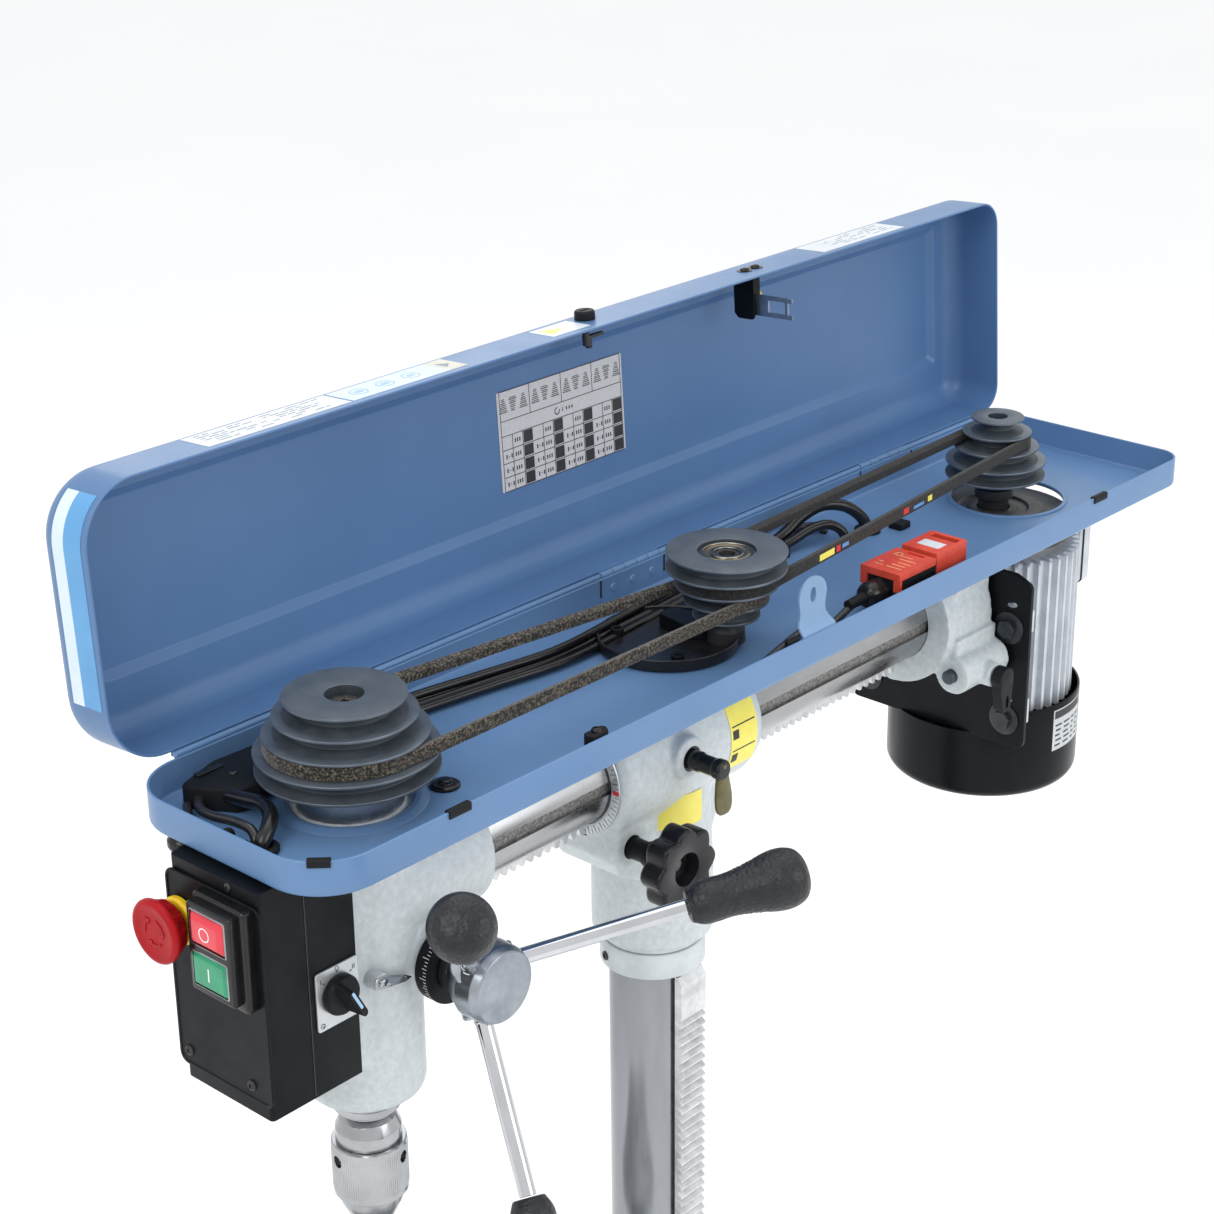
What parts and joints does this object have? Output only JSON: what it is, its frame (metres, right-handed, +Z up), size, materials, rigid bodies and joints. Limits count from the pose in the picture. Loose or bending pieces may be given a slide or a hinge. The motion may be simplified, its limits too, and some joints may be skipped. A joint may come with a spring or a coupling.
{
  "type": "radial drill press",
  "caption": "Bench-top radial drill press with swivelling, sliding and tilting ram, stepped-pulley belt drive under a hinged guard, quill feed and lift table.",
  "frame": {"origin": "column axis at the underside of the base", "axes": "+Z up along the column, -Y towards the operator and the drilling spindle, +Y towards the motor, +X the side of the feed handles"},
  "size_m": [0.3402, 0.9265, 1.0524],
  "materials": {
    "casting_grey": "light grey hammered paint",
    "guard_blue": "semi-gloss mid blue paint",
    "black_metal": "satin black paint",
    "black_plastic": "matt black moulded plastic",
    "gloss_black": "shiny black moulded plastic",
    "ground_steel": "ground and polished steel",
    "bright_chrome": "bright chrome plating",
    "cast_aluminium": "cast aluminium, lightly ribbed",
    "pulley_grey": "dark blue-grey turned pulley metal",
    "belt_rubber": "fabric-covered rubber belt",
    "cable_black": "black cable sheath",
    "red_plastic": "red plastic",
    "green_plastic": "green plastic",
    "yellow_plastic": "yellow plastic",
    "label_silver": "silver dial plate",
    "table_iron": "planed cast iron",
    "lever_olive": "dark olive plastic"
  },
  "bodies": {
    "base": {"base_plate": "casting_grey", "column_flange": "casting_grey", "column_tube": "ground_steel", "column_collar": "casting_grey"},
    "column_rack": {"column_rack": "ground_steel"},
    "table_bracket": {"table_bracket": "casting_grey"},
    "table_crank": {"table_crank": "black_metal"},
    "table_clamp": {"table_clamp_lever": "black_metal"},
    "table": {"table": "table_iron"},
    "arm_support": {"ram_support": "casting_grey", "tilt_scale_ring": "label_silver"},
    "ram_pinion": {"ram_pinion": "ground_steel", "ram_star_knob": "black_plastic"},
    "ram_lock": {"ram_lock_lever": "lever_olive"},
    "ram_carriage": {"ram_rack": "ground_steel"},
    "head": {"ram_tube": "ground_steel", "head_casting": "casting_grey", "spindle_bearing": "ground_steel", "return_spring_cap": "cast_aluminium", "switch_box": "black_metal", "switch_plate": "black_metal", "switch_housing": "gloss_black", "estop_collar": "yellow_plastic", "selector_plate": "label_silver", "belt_tray": "guard_blue", "idler_dish": "black_metal", "idler_bearing": "ground_steel", "belt_front": "belt_rubber", "belt_rear": "belt_rubber", "interlock_switch": "red_plastic", "interlock_lead": "cable_black", "tray_harness": "cable_black", "rear_casting": "casting_grey"},
    "lid": {"belt_lid": "guard_blue", "interlock_key": "ground_steel"},
    "quill": {"quill": "ground_steel"},
    "spindle": {"spindle": "ground_steel", "chuck": "ground_steel"},
    "spindle_pulley": {"spindle_pulley": "pulley_grey"},
    "idler_pulley": {"idler_pulley": "pulley_grey"},
    "feed": {"feed_shaft": "ground_steel", "depth_ring": "black_metal", "feed_hub": "cast_aluminium", "feed_rod_1": "bright_chrome", "feed_rod_2": "bright_chrome", "feed_rod_3": "bright_chrome", "feed_grip_1": "black_plastic", "feed_grip_2": "black_plastic", "feed_grip_3": "black_plastic"},
    "motor": {"motor_plate": "black_metal", "motor_housing": "cast_aluminium", "motor_fan_cover": "black_metal", "terminal_box": "cast_aluminium"},
    "motor_pulley": {"motor_pulley": "pulley_grey", "motor_shaft": "ground_steel"},
    "tension_lock": {"motor_tension_lock": "black_metal"},
    "stop_button": {"stop_button": "red_plastic"},
    "start_button": {"start_button": "green_plastic"},
    "estop": {"estop_button": "red_plastic"},
    "selector": {"selector_knob": "black_plastic"}
  },
  "joints": [
    {"name": "column_rack_turn", "type": "hinge", "parent": "base", "child": "column_rack", "pos_m": [0, 0, 0.345], "axis": [0, 0, 1], "continuous": true},
    {"name": "table_lift", "type": "slide", "parent": "column_rack", "child": "table_bracket", "axis": [0, 0, 1], "range_m": [-0.16, 0.015]},
    {"name": "table_crank_turn", "type": "hinge", "parent": "table_bracket", "child": "table_crank", "pos_m": [0.0457, 0.055, 0.345], "axis": [0, 1, 0], "range_deg": [-90, 920]},
    {"name": "table_clamp_turn", "type": "hinge", "parent": "table_bracket", "child": "table_clamp", "pos_m": [-0.061, -0.02, 0.345], "axis": [0, 1, 0], "range_deg": [-15, 70]},
    {"name": "table_tilt", "type": "hinge", "parent": "table_bracket", "child": "table", "pos_m": [0, -0.112, 0.345], "axis": [0, 1, 0], "range_deg": [-45, 45]},
    {"name": "arm_swivel", "type": "hinge", "parent": "base", "child": "arm_support", "pos_m": [0, 0, 0.7], "axis": [0, 0, 1], "continuous": true},
    {"name": "ram_slide", "type": "slide", "parent": "arm_support", "child": "ram_carriage", "axis": [0, 1, 0], "range_m": [-0.2, 0.09]},
    {"name": "ram_pinion_turn", "type": "hinge", "parent": "arm_support", "child": "ram_pinion", "pos_m": [0.03, -0.0563, 0.755], "axis": [1, 0, 0], "range_deg": [-610, 1150]},
    {"name": "ram_lock_turn", "type": "hinge", "parent": "arm_support", "child": "ram_lock", "pos_m": [0.05, -0.0183, 0.81], "axis": [1, 0, 0], "range_deg": [-10, 75]},
    {"name": "head_tilt", "type": "hinge", "parent": "ram_carriage", "child": "head", "pos_m": [0, 0, 0.8022], "axis": [0, 1, 0], "range_deg": [-45, 30]},
    {"name": "lid_hinge", "type": "hinge", "parent": "head", "child": "lid", "pos_m": [-0.0872, 0.0832, 0.8806], "axis": [0, 1, 0], "range_deg": [0, 93.5]},
    {"name": "quill_feed", "type": "slide", "parent": "head", "child": "quill", "axis": [0, 0, -1], "range_m": [0, 0.08], "stiffness_N_per_m": 300, "springref_m": -0.25},
    {"name": "spindle_spin", "type": "hinge", "parent": "quill", "child": "spindle", "pos_m": [0, -0.2654, 0.73], "axis": [0, 0, 1], "continuous": true},
    {"name": "drive_spin", "type": "hinge", "parent": "head", "child": "spindle_pulley", "pos_m": [0, -0.2654, 0.9], "axis": [0, 0, 1], "continuous": true},
    {"name": "idler_spin", "type": "hinge", "parent": "head", "child": "idler_pulley", "pos_m": [0.0219, 0.0499, 0.905], "axis": [0, 0, 1], "continuous": true},
    {"name": "feed_turn", "type": "hinge", "parent": "head", "child": "feed", "pos_m": [0.045, -0.2343, 0.755], "axis": [1, 0, 0], "range_deg": [0, 383]},
    {"name": "motor_slide", "type": "slide", "parent": "head", "child": "motor", "axis": [0, 1, 0], "range_m": [0, 0.012], "deforming": ["belt_rear"]},
    {"name": "motor_spin", "type": "hinge", "parent": "motor", "child": "motor_pulley", "pos_m": [0, 0.3955, 0.9], "axis": [0, 0, 1], "continuous": true},
    {"name": "tension_lock_turn", "type": "hinge", "parent": "head", "child": "tension_lock", "pos_m": [0.07, 0.2977, 0.768], "axis": [1, 0, 0], "range_deg": [-60, 90]},
    {"name": "stop_press", "type": "slide", "parent": "head", "child": "stop_button", "axis": [0, 1, 0], "range_m": [0, 0.003], "stiffness_N_per_m": 600, "springref_m": -0.003},
    {"name": "start_press", "type": "slide", "parent": "head", "child": "start_button", "axis": [0, 1, 0], "range_m": [0, 0.003], "stiffness_N_per_m": 600, "springref_m": -0.003},
    {"name": "estop_press", "type": "slide", "parent": "head", "child": "estop", "axis": [0, 1, 0], "range_m": [0, 0.0035], "stiffness_N_per_m": 900, "springref_m": -0.003},
    {"name": "selector_turn", "type": "hinge", "parent": "head", "child": "selector", "pos_m": [0.05, -0.3203, 0.772], "axis": [1, 0, 0], "range_deg": [-45, 45]}
  ],
  "couplings": [
    {"joint": "ram_pinion_turn", "follows": "ram_slide", "rad_per_m": -100},
    {"joint": "table_crank_turn", "follows": "table_lift", "rad_per_m": -100},
    {"joint": "feed_turn", "follows": "quill_feed", "rad_per_m": 83.333},
    {"joint": "spindle_spin", "follows": "drive_spin", "ratio": 1},
    {"joint": "idler_spin", "follows": "drive_spin", "ratio": 1.8},
    {"joint": "motor_spin", "follows": "drive_spin", "ratio": 2.476}
  ]
}
